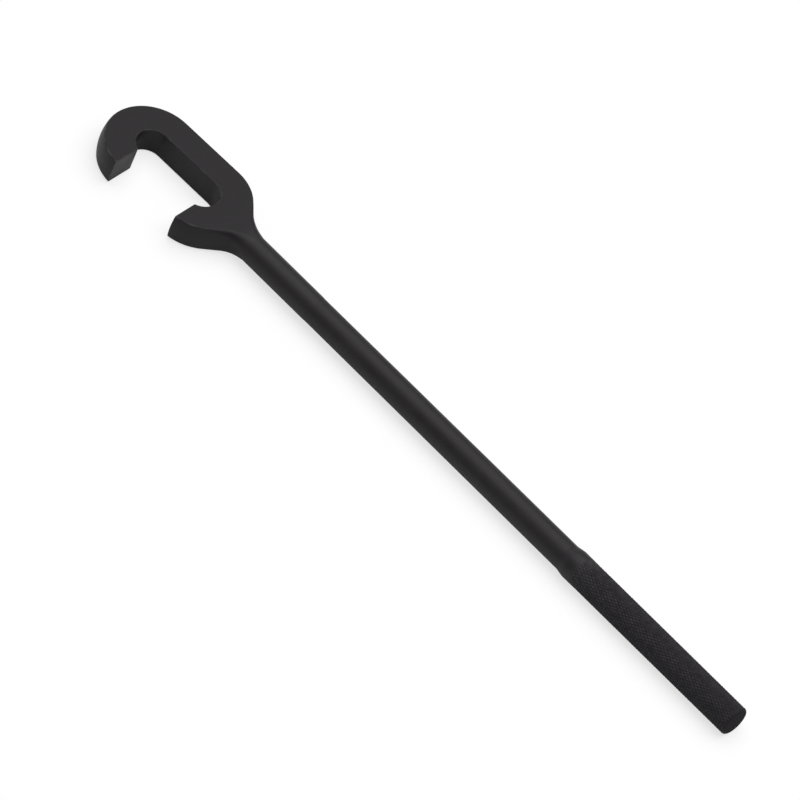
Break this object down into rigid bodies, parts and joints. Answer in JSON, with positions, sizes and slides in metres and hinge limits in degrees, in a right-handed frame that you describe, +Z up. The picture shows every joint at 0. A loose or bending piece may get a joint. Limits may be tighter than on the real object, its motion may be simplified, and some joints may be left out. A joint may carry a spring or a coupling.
{
  "type": "open-hook hydrant and hand-wheel spanner",
  "caption": "Rigid black steel spanner with a flat J-shaped forged hook, a long slot with a side mouth, a round bar and a knurled grip; it levers hand wheels, valves and hydrant lugs.",
  "frame": {"origin": "middle of the bounding box, on the floor that the tool lies on", "axes": "+X along the bar from the hook to the grip, -Y out of the hook's mouth, +Z up out of the head's flat face"},
  "size_m": [0.6, 0.07, 0.0223],
  "materials": {
    "forged_black": "satin black coat on forged steel",
    "drawn_black": "satin black coat on drawn bar",
    "knurled_black": "matt black coat on a fine diamond knurl"
  },
  "bodies": {
    "root": {"hook_head": "forged_black", "shaft": "drawn_black", "knurled_grip": "knurled_black"}
  },
  "joints": []
}
